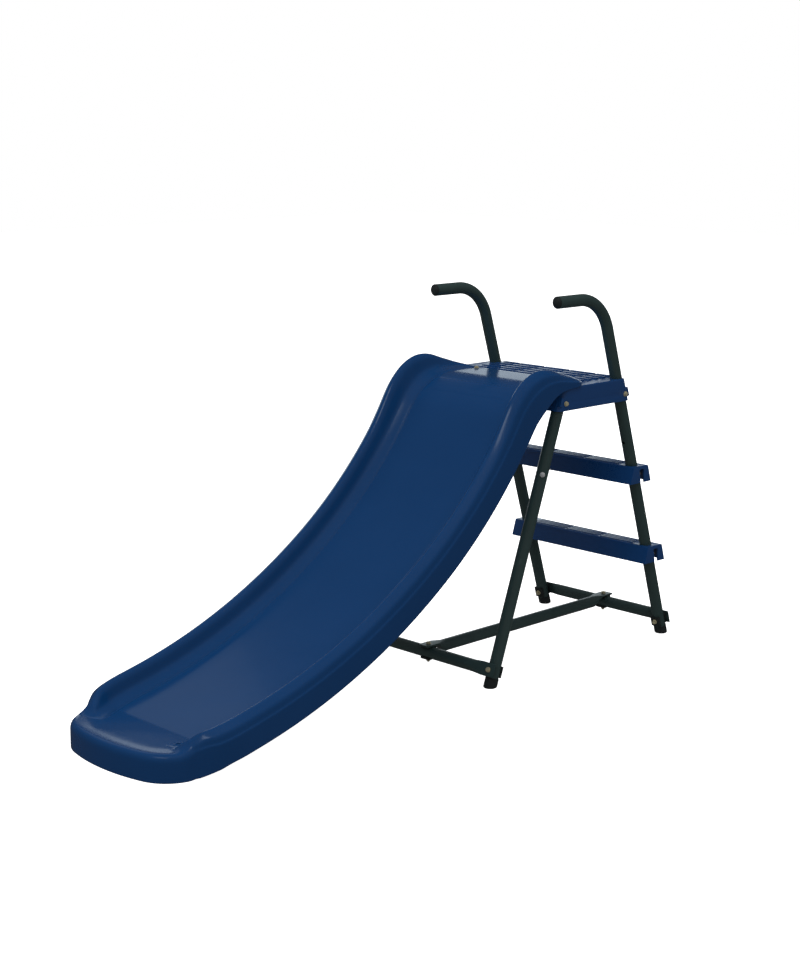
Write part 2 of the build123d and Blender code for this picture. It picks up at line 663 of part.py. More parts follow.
def assembly():
    nodes = {
        "slide_chute": chute(),
        "platform": platform(),
        "step_upper": step(STEP_TOPS[0]),
        "step_lower": step(STEP_TOPS[1]),
        "centre_brace": brace(),
        "front_leg_screws": [leg_screw(side) for _, side in SIDES],
    }
    for name, side in SIDES:
        nodes[f"upright_{name}"] = upright(side)
        nodes[f"front_leg_{name}"] = front_leg(side)
        nodes[f"handle_plug_{name}"] = handle_plug(side)
        nodes[f"foot_cap_rear_{name}"] = foot_cap(side, rear_y)
        nodes[f"foot_cap_front_{name}"] = foot_cap(side, front_y)
    for name, bar in BARS:
        nodes[f"{name}_crossbar"] = crossbar(bar)
        nodes[f"{name}_leg_saddles"] = leg_saddles(bar)
        nodes[f"{name}_brace_saddles"] = brace_saddles(bar)
    nodes |= fastener_nodes("chute", wing_screws())
    nodes |= fastener_nodes("platform", platform_bolts())
    nodes |= fastener_nodes("step", step_bolts())
    nodes |= fastener_nodes("crossbar", bar_bolts())
    nodes |= fastener_nodes("brace", brace_bolts())
    return {name: made if isinstance(made, list) else [made] for name, made in nodes.items()}


def main():
    nodes = assembly()
    boxes = [piece.bounding_box() for pieces in nodes.values() for piece in pieces]
    middle = (min(b.min.Y for b in boxes) + max(b.max.Y for b in boxes)) / 2
    os.makedirs("parts", exist_ok=True)
    for name, pieces in nodes.items():
        moved = [Pos(0, -middle, 0) * piece for piece in pieces]
        export_step(moved[0] if len(moved) == 1 else Compound(children=moved), f"parts/{name}.step")
    print("moved by", round(-middle, 3), "upper sweep radius", round(upper_radius(), 1))


main()
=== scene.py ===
from bisect import bisect_right
from math import atan2, cos, pi, radians, sin, sqrt

import bpy
from mathutils import Matrix, Vector


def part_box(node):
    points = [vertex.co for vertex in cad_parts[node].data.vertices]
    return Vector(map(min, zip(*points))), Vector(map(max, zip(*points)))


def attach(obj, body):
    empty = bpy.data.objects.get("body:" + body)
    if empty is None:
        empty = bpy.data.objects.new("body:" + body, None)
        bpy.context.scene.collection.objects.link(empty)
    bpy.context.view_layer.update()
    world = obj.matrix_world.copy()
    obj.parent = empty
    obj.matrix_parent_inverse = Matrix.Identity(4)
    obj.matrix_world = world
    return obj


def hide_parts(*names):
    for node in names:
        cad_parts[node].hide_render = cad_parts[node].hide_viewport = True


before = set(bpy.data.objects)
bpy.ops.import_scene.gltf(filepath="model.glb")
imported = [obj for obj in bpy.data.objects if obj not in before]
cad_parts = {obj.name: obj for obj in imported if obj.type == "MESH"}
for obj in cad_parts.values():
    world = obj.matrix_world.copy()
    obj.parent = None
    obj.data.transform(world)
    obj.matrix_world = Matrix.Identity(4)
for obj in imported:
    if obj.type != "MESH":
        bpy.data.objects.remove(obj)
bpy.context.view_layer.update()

bl_info = {
    "name": "Garden slide with a ladder frame",
    "version": (1, 0, 0),
    "blender": (4, 5, 0),
    "location": "3D View > Sidebar > Slide",
    "description": "Builds the finished look of a child's garden slide around its measured frame",
    "category": "Object",
}

CHUTE_HIGH = Vector(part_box("slide_chute")[1])  # the chute's right, rear and top sides
SIDES = ("left", "right")


# ---- sizes and colours ------------------------------------------------------------------------------
def length(name, about, default):
    """A size in metres."""
    return bpy.props.FloatProperty(name=name, description=about, default=default, min=0.0, unit="LENGTH")


def colour(name, about, default):
    """A colour whose channels run from 0 to 1."""
    return bpy.props.FloatVectorProperty(
        name=name, description=about, default=default, size=3, min=0.0, max=1.0, subtype="COLOR")


class ChuteSizes(bpy.types.PropertyGroup):
    wall: length("Wall", "Thickness of the moulded wall", 0.004)
    flange: length("Flange", "Level length that lies on the platform", 0.107)
    brow_radius: length("Brow radius", "Bend from the flange into the descent", 0.186)
    steep_run: length("Steep run", "Straight length at the steepest slope", 0.042)
    upper_radius: length("Upper sweep radius", "Upper part of the hollow curve", 1.2584)
    lower_radius: length("Lower sweep radius", "Lower part of the hollow curve", 1.547)
    run_out: length("Run-out", "Straight length before the level exit", 0.1017)
    exit_length: length("Exit length", "From the crease to the front edge", 0.152)
    half_width: length("Half width", "From the middle to the skirt", CHUTE_HIGH.x)
    exit_half: length("Exit half width", "Half width at the exit's front corners", 0.205)
    rim: length("Rim height", "Height of the rolled rim above the bed", 0.047)
    skirt: length("Skirt", "Depth of the skirt below the bed", 0.039)
    panel_drop: length("Panel depth", "How far the sliding panel lies below its border", 0.0013)
    panel_start: length("Panel start", "Where the panel starts, along the bed from the rear edge", 0.221)


class EdgeSizes(bpy.types.PropertyGroup):
    moulded: length("Moulded edges", "Rounding of the platform's and the treads' edges", 0.0011)
    rubber: length("Cap edges", "Rounding of the caps, plugs and saddles", 0.0012)
    steel: length("Steel edges", "Rounding of the fasteners' edges", 0.0005)


class Finishes(bpy.types.PropertyGroup):
    chute: colour("Chute", "Blue of the glossy moulded chute", (0.0030, 0.0395, 0.1380))
    moulded: colour("Platform and treads", "Blue of the satin mouldings", (0.0055, 0.0450, 0.1600))
    tube: colour("Frame", "Dark green-grey powder coat", (0.0270, 0.0510, 0.0500))
    black: colour("Caps and saddles", "Black plastic", (0.0140, 0.0195, 0.0205))
    zinc: colour("Fasteners", "Yellow zinc plating", (0.72, 0.64, 0.42))
    bright: colour("Screws", "Bright zinc plating", (0.78, 0.79, 0.80))
    floor: colour("Floor", "Pale studio floor", (0.93, 0.93, 0.93))


# ---- shader maths -------------------------------------------------------------------------------------
class Wire:
    """A socket whose sums and products are Math nodes."""

    def __init__(self, tree, socket):
        self.tree, self.socket = tree, socket

    def _math(self, operation, a, b=None):
        node = self.tree.nodes.new("ShaderNodeMath")
        node.operation = operation
        for place, value in enumerate((a, b)):
            if isinstance(value, Wire):
                self.tree.links.new(value.socket, node.inputs[place])
            elif value is not None:
                node.inputs[place].default_value = value
        return Wire(self.tree, node.outputs[0])

    def __add__(self, other):
        return self._math("ADD", self, other)

    __radd__ = __add__

    def __mul__(self, other):
        return self._math("MULTIPLY", self, other)

    __rmul__ = __mul__

    def __sub__(self, other):
        return self._math("SUBTRACT", self, other)

    def __rsub__(self, other):
        return self._math("SUBTRACT", other, self)

    def clamped(self):
        return self._math("MINIMUM", self._math("MAXIMUM", self, 0.0), 1.0)


class Finish:
    """A material with one shader, whose nodes are added by type, settings and sockets."""

    def __init__(self, name):
        self.material = bpy.data.materials.new(name)
        self.material.use_nodes = True
        self.tree = self.material.node_tree
        self.shader = self.tree.nodes["Principled BSDF"]
        self.place = self.node("ShaderNodeTexCoord", out="Object")

    def node(self, kind, settings=(), out=0, **sockets):
        node = self.tree.nodes.new(kind)
        for name, value in dict(settings).items():
            if name == "stops":
                self.stops(node.color_ramp, value)
            else:
                setattr(node, name, value)
        for name, value in sockets.items():
            self.put(node.inputs[int(name[1:]) if name[1:].isdigit() else name.replace("_", " ")], value)
        return Wire(self.tree, node.outputs[out])

    def stops(self, ramp, stops):
        while len(ramp.elements) < len(stops):
            ramp.elements.new(0.5)
        for element, (position, grey) in zip(ramp.elements, stops):
            element.position = position
            element.color = (grey, grey, grey, 1.0)

    def put(self, socket, value):
        if isinstance(value, Wire):
            self.tree.links.new(value.socket, socket)
        else:
            socket.default_value = value

    def set(self, **sockets):
        for name, value in sockets.items():
            self.put(self.shader.inputs[name.replace("_", " ")], value)

    def spread(self, scale):
        """Object coordinates stretched by a scale for each axis."""
        return self.node("ShaderNodeMapping", Vector=self.place, Scale=scale)

    def noise(self, scale, detail=3.0, roughness=0.5, place=None):
        return self.node("ShaderNodeTexNoise", out="Fac", Vector=place or self.place,
                         Scale=scale, Detail=detail, Roughness=roughness)

    def ramp(self, factor, stops):
        return self.node("ShaderNodeValToRGB", {"stops": stops}, out="Color", Fac=factor)

    def mix(self, factor, a, b):
        """The mixed colour; its factor and its two colours are inputs 0, 6 and 7."""
        return self.node("ShaderNodeMix", {"data_type": "RGBA"}, out=2, _0=factor, _6=a, _7=b)

    def bump(self, height, strength, distance):
        return self.node("ShaderNodeBump", out="Normal", Strength=strength, Distance=distance, Height=height)


def tinted(tone, share):
    """A colour made darker or lighter by a share, with its alpha."""
    return tuple(channel * share for channel in tone) + (1.0,)


def polyethylene(name, tone, gloss, grain, streaks):
    """Moulded plastic: cloudy pigment, a fine skin, faint flow lines and fine rubbing marks."""
    made = Finish(name)
    cloud = made.noise(5.0, detail=4.0, roughness=0.55)
    fleck = made.noise(420.0, detail=2.0)
    base = made.mix(cloud, tinted(tone, 0.90), tinted(tone, 1.10))
    base = made.mix(fleck * 0.10, base, tinted(tone, 1.9))
    skin = made.noise(grain, roughness=0.6)
    wave = made.noise(9.0, detail=2.0)
    rubbing = made.noise(60.0, roughness=0.6, place=made.spread((12.0, 0.6, 0.6)))
    marks = made.ramp(rubbing, ((0.58, 0.0), (0.74, 1.0)))
    made.set(Base_Color=base, IOR=1.5, Coat_Roughness=0.06)
    made.set(Roughness=(cloud * 0.05 + skin * 0.03 + marks * streaks + gloss).clamped())
    made.set(Coat_Weight=(wave * 0.2 + 0.1).clamped())
    made.set(Normal=made.bump(skin * 0.10 + wave * 2.0 + marks * 0.02, strength=0.2, distance=0.0004))
    return made.material


def powder_coat(name, tone):
    """Satin powder coat on tube: orange peel and paler, dull rubbed places."""
    made = Finish(name)
    cloud = made.noise(14.0)
    peel = made.noise(900.0, detail=2.0, roughness=0.6)
    fine = made.noise(2600.0, detail=1.0)
    rubbing = made.noise(75.0, detail=5.0, roughness=0.7, place=made.spread((1.0, 1.0, 0.35)))
    scuff = made.ramp(rubbing, ((0.63, 0.0), (0.72, 1.0)))
    base = made.mix(cloud, tinted(tone, 0.86), tinted(tone, 1.16))
    base = made.mix(scuff * 0.22, base, tinted(tone, 2.4))
    made.set(Base_Color=base, IOR=1.5, Coat_Roughness=0.22)
    made.set(Roughness=(cloud * 0.08 + scuff * 0.12 + 0.30).clamped(), Coat_Weight=(1 - scuff) * 0.18)
    made.set(Normal=made.bump(peel + fine * 0.3, strength=0.25, distance=0.0002))
    return made.material


def soft_black(name, tone):
    """Black plastic with a spark-eroded skin and paler rubbed spots."""
    made = Finish(name)
    skin = made.noise(1500.0, roughness=0.7)
    rubbed = made.ramp(made.noise(55.0, detail=4.0, roughness=0.65), ((0.52, 0.0), (0.75, 1.0)))
    made.set(Base_Color=made.mix(rubbed * 0.5, tinted(tone, 0.9), tinted(tone, 2.3)), IOR=1.5)
    made.set(Roughness=(skin * 0.16 + rubbed * 0.08 + 0.38).clamped())
    made.set(Normal=made.bump(skin, strength=0.4, distance=0.00015))
    return made.material


def plated(name, tone, other, mottling):
    """Plated steel: passivation mottled with another tone, and drawn lines."""
    made = Finish(name)
    mottle = made.ramp(made.noise(230.0, detail=4.0, roughness=0.6), ((0.35, 0.0), (0.68, 1.0)))
    drawn = made.noise(2400.0, detail=2.0, roughness=0.6, place=made.spread((1.0, 0.2, 1.0)))
    made.set(Base_Color=made.mix(mottle * mottling, tinted(tone, 1.0), (*other, 1.0)), Metallic=0.55)
    made.set(Roughness=(mottle * 0.12 + drawn * 0.12 + 0.26).clamped())
    made.set(Normal=made.bump(drawn, strength=0.3, distance=0.0001))
    return made.material


def pale_floor(name, tone):
    """A floor that glows white, so that no shadow shows on it."""
    made = Finish(name)
    made.set(Base_Color=made.mix(made.noise(1.5), tinted(tone, 0.995), tinted(tone, 1.0)), Roughness=0.9)
    made.set(Emission_Color=(1.0, 1.0, 1.0, 1.0), Emission_Strength=1.0)
    return made.material


# ---- mesh helpers --------------------------------------------------------------------------------------
NODE_WELD = 0.00002          # doubled vertices of a measured node lie closer than this
CHUTE_WELD = 0.00001         # and those of the chute's mesh
FLAT_WITHIN = 0.3            # degrees between facets of one flat face
BEVEL_FROM = 25.0            # degrees


def alone(piece):
    """Leaves just this piece selected and active."""
    bpy.ops.object.select_all(action="DESELECT")
    piece.select_set(True)
    bpy.context.view_layer.objects.active = piece


def applied(piece, kind, **settings):
    """Adds a modifier with these settings and applies it."""
    alone(piece)
    modifier = piece.modifiers.new(kind.title(), kind)
    for name, value in settings.items():
        setattr(modifier, name, value)
    bpy.ops.object.modifier_apply(modifier=modifier.name)


def settle(piece, material, slot, *nodes):
    """Freezes a finished piece's place into its mesh, and gives it its body and material; the nodes it
    stands for are hidden. The slot is not used.
    """
    alone(piece)
    bpy.ops.object.transform_apply(location=True, rotation=True, scale=True)
    piece.data.materials.clear()
    piece.data.materials.append(material)
    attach(piece, "root")
    if nodes:
        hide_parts(*nodes)


def rounded(node, radius, steps, soft=35.0):
    """A copy of a measured node with its facets joined and its edges rounded.

    Edges sharper than BEVEL_FROM are rounded, if there is a radius; those under `soft` are shaded smooth.
    """
    piece = bpy.data.objects.new(f"{node}_finished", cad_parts[node].data.copy())
    bpy.context.collection.objects.link(piece)
    alone(piece)
    bpy.ops.object.mode_set(mode="EDIT")
    bpy.ops.mesh.select_all(action="SELECT")
    bpy.ops.mesh.remove_doubles(threshold=NODE_WELD)
    bpy.ops.mesh.customdata_custom_splitnormals_clear()
    bpy.ops.mesh.dissolve_limited(angle_limit=radians(FLAT_WITHIN))
    bpy.ops.object.mode_set(mode="OBJECT")
    if radius:
        applied(piece, "BEVEL", width=radius, segments=steps, limit_method="ANGLE",
                angle_limit=radians(BEVEL_FROM), use_clamp_overlap=True, harden_normals=False)
    bpy.ops.object.shade_smooth_by_angle(angle=radians(soft))
    return piece


# ---- the chute's bed -----------------------------------------------------------------------------------
STEEP, MIDDLE, LOW, EXIT = (radians(angle) for angle in (55.0, 36.0, 13.0, 0.3))  # slopes of the bed
RIB_HEIGHT = 0.003           # of the platform's grip ribs above its deck
CREASE_RADIUS = 0.05         # bend from the run-out into the level exit
EXIT_ROWS = 0.1135           # rows across the bed end this far short of the front edge's middle
EXIT_CORNER = 0.100          # radius of the exit's front corners in plan
EXIT_BOW = 0.042             # how far the front edge's middle stands out past its corners
BULGE = 0.026                # of the last row across the bed towards the front
BULGE_AFTER = 0.004          # past the crease, where the rows begin to bulge
BAND_MM = 87.5               # width of the rim's band, from the outline to the bed
BAND = BAND_MM / 1000
REAR_IN = 0.052              # how far the sides draw in at the flange's rear corners
REAR_TAPER = 0.049           # length of that taper
REAR_DIP = 0.15              # share of the exit's edge, turned over, that the flange's rear shows
REAR_FULL = 0.02             # from the rear edge, where that share is full
SIDES_END = 0.04             # into the run-out, where the sides stop being parallel
SWEEP_RIM = 0.0505           # rim height where the hollow sweep starts
SWEEP_EASE = 0.08            # length over which it comes down to the rim height
RIM_END = 0.005              # before the crease, where the even rim ends
LEAN_FROM, LEAN_TO = 0.07, 0.06  # the rim's lean eases from before the crease to past its end
EDGE_FULL = 0.075            # past the crease's end, where the exit's rolled edge is full
FOOT_FROM, FOOT_TO = 0.015, 0.062  # the skirt comes down to the ground between these, likewise
PANEL_CORNER = 0.032         # radius of the sunk panel's corners
PANEL_IN = 0.001             # panel's edge inside the rim's band
PANEL_SLOPE = 0.003          # half the width of the step down into the panel
PANEL_ROWS = 0.004           # rows this far on either side of its top end
COLUMNS = 40                 # faces across the bed
CROWDING = 0.65              # how strongly the columns crowd towards the sides
SIDE_STEPS, CORNER_STEPS, FRONT_STEPS = 12, 24, 40  # points of half the exit's outline

# Tables along the bed. On the flange and the brow: (share of its length, height of the rim or depth
# of the skirt). At the exit: (distance past the crease or its end, share of the rim or of the width).
FLANGE_RIM = ((0.0, 0.0), (0.54, 0.019), (1.0, 0.034))
FLANGE_SKIRT = ((0.0, 0.0045), (0.54, 0.006), (1.0, 0.011))
BROW_RIM = ((0.2, 0.050), (0.4, 0.0608), (0.55, 0.063), (0.8, 0.0592), (1.0, 0.054))
BROW_SKIRT = ((0.2, 0.019), (0.4, 0.029), (0.6, 0.036), (0.8, 0.038))
NOSE = ((0.003, 0.95), (0.017, 0.86), (0.032, 0.66), (0.047, 0.38), (0.062, 0.15), (0.080, 0.0))
NARROWING = ((-0.03, 0.95), (0.005, 0.80), (0.023, 0.60), (0.036, 0.40), (0.048, 0.20), (0.060, 0.06))
# Rows across the bed in each of its stretches
ROWS = {"flange": 9, "brow": 15, "steep": 3, "upper": 17, "lower": 24, "run": 7, "crease": 3, "exit": 5}

# Rim from the bed outwards: distance in from the side and height in a 47 mm rim, then the same
# points laid out on the exit's flat rolled edge. All in millimetres. The skirt's rows follow, as
# shares of its depth.
RIM = (
    (87.5, 0.0), (85.6, -1.1), (83.8, -0.7), (81.5, 2.0), (76.0, 3.8), (66.0, 7.0), (57.5, 11.0),
    (54.0, 13.6), (51.5, 17.0), (49.2, 22.5), (47.0, 28.5), (45.2, 33.5), (43.6, 37.0),
    (41.0, 40.4), (38.0, 43.4), (34.5, 45.8), (30.0, 47.0), (25.5, 46.5), (21.0, 44.4),
    (13.0, 39.6), (9.0, 37.0), (6.6, 34.2), (5.0, 30.0), (4.0, 25.0), (3.2, 20.8), (1.8, 18.8),
    (0.6, 17.6), (0.0, 15.6),
)
EDGE = (
    (87.5, 0.0), (83.5, 0.0), (79.5, 0.0), (75.5, 0.0), (71.0, 0.0), (66.0, 0.0), (61.0, 0.0),
    (56.0, 0.1), (51.5, 0.25), (47.5, 0.45), (44.0, 0.65), (41.0, 0.85), (38.0, 1.05),
    (35.0, 1.3), (32.0, 1.5), (29.0, 1.75), (26.0, 1.95), (23.0, 2.1), (20.0, 2.25),
    (17.0, 2.3), (14.0, 2.1), (11.0, 1.6), (8.4, 0.8), (6.2, -0.4), (4.2, -2.2), (2.4, -5.0),
    (0.9, -9.0), (0.0, -14.0),
)
SKIRT_ROWS = (0.25, 0.6, 0.93, 1.0)


def smooth(low, high, value):
    """Rises softly from 0 at low to 1 at high."""
    share = min(max((value - low) / (high - low), 0.0), 1.0)
    return share * share * (3 - 2 * share)


def along(table, at):
    """Reads a table of (place, value) with a smooth, never overshooting, line between its points."""
    places = [place for place, _ in table]
    if at <= places[0]:
        return table[0][1]
    if at >= places[-1]:
        return table[-1][1]
    index = bisect_right(places, at) - 1
    slopes = []
    for middle in (index, index + 1):
        if 0 < middle < len(table) - 1:
            (p0, v0), (p1, v1), (p2, v2) = table[middle - 1:middle + 2]
            before, after = (v1 - v0) / (p1 - p0), (v2 - v1) / (p2 - p1)
            slopes.append(2 * before * after / (before + after) if before * after > 0 else 0.0)
        else:
            (p0, v0), (p1, v1) = (table[0:2] if middle == 0 else table[-2:])
            slopes.append((v1 - v0) / (p1 - p0))
    (p0, v0), (p1, v1) = table[index:index + 2]
    run = p1 - p0
    t = (at - p0) / run
    start = (2 * t**3 - 3 * t**2 + 1) * v0 + (t**3 - 2 * t**2 + t) * run * slopes[0]
    return start + (3 * t**2 - 2 * t**3) * v1 + (t**3 - t**2) * run * slopes[1]


class Bed:
    """The bed's line down the middle, from the flange's rear edge to the exit's front edge."""

    def __init__(self, sizes):
        self.sizes = sizes
        self.runs = []
        self.total = 0.0
        for radius, start, end, straight in (
            (0.0, 0.0, 0.0, sizes.flange), (sizes.brow_radius, 0.0, STEEP, 0.0),
            (0.0, STEEP, STEEP, sizes.steep_run), (sizes.upper_radius, STEEP, MIDDLE, 0.0),
            (sizes.lower_radius, MIDDLE, LOW, 0.0), (0.0, LOW, LOW, sizes.run_out),
            (CREASE_RADIUS, LOW, EXIT, 0.0), (0.0, EXIT, EXIT, sizes.exit_length),
        ):
            run = straight or radius * abs(end - start)
            self.runs.append((self.total, run, radius, start, end))
            self.total += run
        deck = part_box("platform")[1][2] - RIB_HEIGHT
        self.rear = (CHUTE_HIGH.y, deck + sizes.wall)

    def at(self, distance):
        """(y, z, slope) at a distance along the bed."""
        y, z = self.rear
        slope = 0.0
        for start, run, radius, first, last in self.runs:
            step = min(max(distance - start, 0.0), run)
            if step <= 0.0 and start > 0.0:
                break
            if radius:
                slope = first + (last - first) * step / run
                turn = 1.0 if last > first else -1.0
                y -= turn * radius * (sin(slope) - sin(first))
                z -= turn * radius * (cos(first) - cos(slope))
            else:
                slope = first
                y -= step * cos(slope)
                z -= step * sin(slope)
        return y, z, slope

    def starts(self):
        """Distances along the bed where its stretches start, and its end."""
        return [start for start, *_ in self.runs] + [self.total]


class Chute:
    """Places of the chute's mesh: rows across the bed inside one band that goes round the rim."""

    def __init__(self, sizes):
        self.sizes = sizes
        self.bed = Bed(sizes)
        (self.flange, self.brow, self.steep, self.upper, self.lower, self.run, self.crease,
         self.exit, self.front) = self.bed.starts()
        self.tables()

    def tables(self):
        """Rim height, skirt depth and half width along the bed."""
        s, wide = self.sizes, self.sizes.half_width
        bend = self.steep - self.brow
        rim = [(part * self.brow, high) for part, high in FLANGE_RIM]
        rim += [(self.brow + part * bend, high) for part, high in BROW_RIM]
        rim += [(self.upper, SWEEP_RIM), (self.upper + SWEEP_EASE, s.rim), (self.crease - RIM_END, s.rim)]
        self.rim = rim + [(self.exit + at, share * s.rim) for at, share in NOSE]
        skirt = [(part * self.brow, deep) for part, deep in FLANGE_SKIRT]
        skirt += [(self.brow + part * bend, deep) for part, deep in (*BROW_SKIRT, (1.0, s.skirt))]
        self.skirt = skirt + [(self.front, s.skirt)]
        narrow = wide - s.exit_half
        self.half = [(0.0, wide - REAR_IN), (REAR_TAPER, wide), (self.run + SIDES_END, wide)]
        self.half += [(self.crease + at, s.exit_half + share * narrow) for at, share in NARROWING]

    def rows(self):
        """Where the rows across the bed lie."""
        starts = [getattr(self, stretch) for stretch in ROWS]
        last = self.front - EXIT_ROWS
        found = [last]
        for start, end, count in zip(starts, starts[1:] + [last], ROWS.values()):
            found += [start + (end - start) * index / count for index in range(count)]
        found += [self.sizes.panel_start + shift for shift in (-PANEL_ROWS, 0.0, PANEL_ROWS)]
        return sorted(found)

    def columns(self):
        """Shares of the bed's half width, closer together towards the sides."""
        shares = [2 * index / COLUMNS - 1 for index in range(COLUMNS + 1)]
        return [(1 - CROWDING) * share + CROWDING * sin(pi / 2 * share) for share in shares]

    def outline(self):
        """The exit's outline in plan from left to right, as (x, distance along the bed)."""
        last = self.front - EXIT_ROWS
        half = self.sizes.exit_half
        radius = (half * half + EXIT_BOW * EXIT_BOW) / (2 * EXIT_BOW)
        centre = self.front - radius
        inner = radius - EXIT_CORNER
        corner_x = half - EXIT_CORNER
        corner_s = centre + sqrt(inner * inner - corner_x * corner_x)
        turn = pi / 2 - atan2(corner_x, corner_s - centre)
        points = []
        for index in range(SIDE_STEPS + 1):
            at = last + (corner_s - last) * index / SIDE_STEPS
            points.append((-self.width(at), at))
        for index in range(1, CORNER_STEPS + 1):
            angle = turn * index / CORNER_STEPS
            points.append((-(corner_x + EXIT_CORNER * cos(angle)), corner_s + EXIT_CORNER * sin(angle)))
        corner_end = points[-1][0]
        for index in range(1, FRONT_STEPS + 1):
            x = corner_end * (1 - index / FRONT_STEPS)
            points.append((x, centre + sqrt(radius * radius - x * x)))
        return points + [(-x, s) for x, s in reversed(points[:-1])]

    def width(self, at):
        """Half the chute's width at a distance along the bed."""
        return along(self.half, at)

    def panel(self, x, at):
        """How far the sunk panel lies below its border, with round corners at its top end."""
        edge_x = self.sizes.half_width - BAND - PANEL_IN
        dx, ds = abs(x) - (edge_x - PANEL_CORNER), self.sizes.panel_start + PANEL_CORNER - at
        outside = sqrt(max(dx, 0.0) ** 2 + max(ds, 0.0) ** 2) + min(max(dx, ds), 0.0) - PANEL_CORNER
        inside = smooth(PANEL_SLOPE, -PANEL_SLOPE, outside)
        return self.sizes.panel_drop * inside * smooth(self.exit, self.run, at)

    def point(self, x, at, high):
        """A place at a height square to the bed; past the run-out the rim leans over gradually."""
        y, z, slope = self.bed.at(at)
        if at > self.run:
            slope = LOW + (EXIT - LOW) * smooth(self.crease - LEAN_FROM, self.exit + LEAN_TO, at)
        return Vector((x, y - high * sin(slope), z + high * cos(slope)))

    def band(self, outer, inner, at):
        """Points of the rim's band from the bed out to the skirt's foot, at one place of the outline."""
        lift = along(self.rim, at) / self.sizes.rim
        share = min(lift, 1.0)
        edge = smooth(self.crease, self.exit + EDGE_FULL, at)
        rear = smooth(self.brow, REAR_FULL, at)
        found = []
        for (rim_in, rim_high), (edge_in, edge_high) in zip(RIM, EDGE):
            inward = (edge_in + (rim_in - edge_in) * share) / BAND_MM
            high = (rim_high * lift + edge_high * (1 - share) * (edge - REAR_DIP * rear)) / 1000
            x = outer[0] + (inner[0] - outer[0]) * inward
            place = outer[1] + (inner[1] - outer[1]) * inward
            found.append(self.point(x, place, high - self.panel(x, place)))
        top = found[-1]
        foot = self.point(outer[0], outer[1], -along(self.skirt, outer[1]))
        ground = smooth(self.crease - FOOT_FROM, self.exit + FOOT_TO, outer[1])
        foot = foot.lerp(Vector((top.x, top.y, 0.0)), ground)
        found += [top.lerp(foot, part) for part in SKIRT_ROWS]
        return found


class ChuteBuild:
    """Collects the chute's vertices and faces."""

    def __init__(self, sizes):
        self.plan = Chute(sizes)
        self.points, self.faces = [], []

    def add(self, places):
        """Adds vertices and returns their numbers."""
        first = len(self.points)
        self.points += places
        return list(range(first, len(self.points)))

    def strip(self, a, b):
        """Faces between two rows of vertices."""
        self.faces += list(zip(a, a[1:], b[1:], b))

    def bed_rows(self):
        """Distances of the rows, and each row's places in plan; the last rows bulge forwards."""
        plan, found = self.plan, []
        rows = plan.rows()
        for at in rows:
            half = plan.width(at) - BAND
            swell = smooth(plan.exit + BULGE_AFTER, rows[-1], at) * BULGE
            row = []
            for share in plan.columns():
                place = at + swell * (1 - abs(share) ** 3) ** (1 / 3)
                row.append((share * half, place))
            found.append(row)
        return rows, found

    def build(self):
        """The bed's grid, and the band round it, which runs down the left side, round the exit and back."""
        plan = self.plan
        rows, plans = self.bed_rows()
        bed = [self.add([plan.point(x, at, -plan.panel(x, at)) for x, at in row]) for row in plans]
        for a, b in zip(bed, bed[1:]):
            self.strip(a, b)
        outline = even(plan.outline(), plan.columns())
        sides = list(zip(rows[:-1], plans, bed))
        chain = [((-plan.width(at), at), row[0], ids[0]) for at, row, ids in sides]
        chain += zip(outline, plans[-1], bed[-1])
        chain += [((plan.width(at), at), row[-1], ids[-1]) for at, row, ids in reversed(sides)]
        before = None
        for outer, inner, vertex in chain:
            ring = [vertex] + self.add(plan.band(outer, inner, outer[1])[1:])
            if before:
                self.strip(ring, before)
            before = ring
        mesh = bpy.data.meshes.new("chute_shell")
        mesh.from_pydata(self.points, [], self.faces)
        return mesh


def even(points, shares):
    """Points spread along a line by shares from -1 at its start to 1 at its end."""
    runs = [0.0]
    for (x0, s0), (x1, s1) in zip(points, points[1:]):
        runs.append(runs[-1] + sqrt((x1 - x0) ** 2 + (s1 - s0) ** 2))
    found = []
    for share in shares:
        want = runs[-1] * min(max((share + 1) / 2, 0.0), 1.0)
        at = min(max(bisect_right(runs, want) - 1, 0), len(points) - 2)
        part = (want - runs[at]) / (runs[at + 1] - runs[at])
        (x0, s0), (x1, s1) = points[at], points[at + 1]
        found.append((x0 + (x1 - x0) * part, s0 + (s1 - s0) * part))
    return found


# ---- camera and light -----------------------------------------------------------------------------------
FOCAL_LENGTH = 66.23         # millimetres, on a sensor 36 mm wide
CAMERA_PLACE = (3.1534, -3.1030, 1.4442)
CAMERA_AHEAD = (-0.69310, 0.69050, -0.20710)
CAMERA_ROLL = 0.32           # degrees
FLOOR_SIZE = 30.0
WHITE, COOL = (1.0, 1.0, 1.0), (0.82, 0.94, 1.0)
LOW_SKY = 0.35               # brightness of the surroundings near the ground
GLOSS_SKY = 0.05             # and as glossy surfaces reflect them
LIT_PLACE = (0.0, -0.1, 0.5)  # where every lamp points

# name, place, width, height, watts and whether it is seen in reflections
LAMPS = (
    ("overhead", (0.4, -1.2, 3.6), 3.0, 3.0, 34.0, False),
    ("back_panel", (-2.6, 2.9, 0.68), 4.6, 1.36, 18.0, True),
    ("side_panel", (-3.4, 1.2, 2.62), 2.4, 0.85, 1.4, True),
    ("top_strip", (0.6, -2.4, 3.2), 1.6, 0.5, 5.0, True),
)


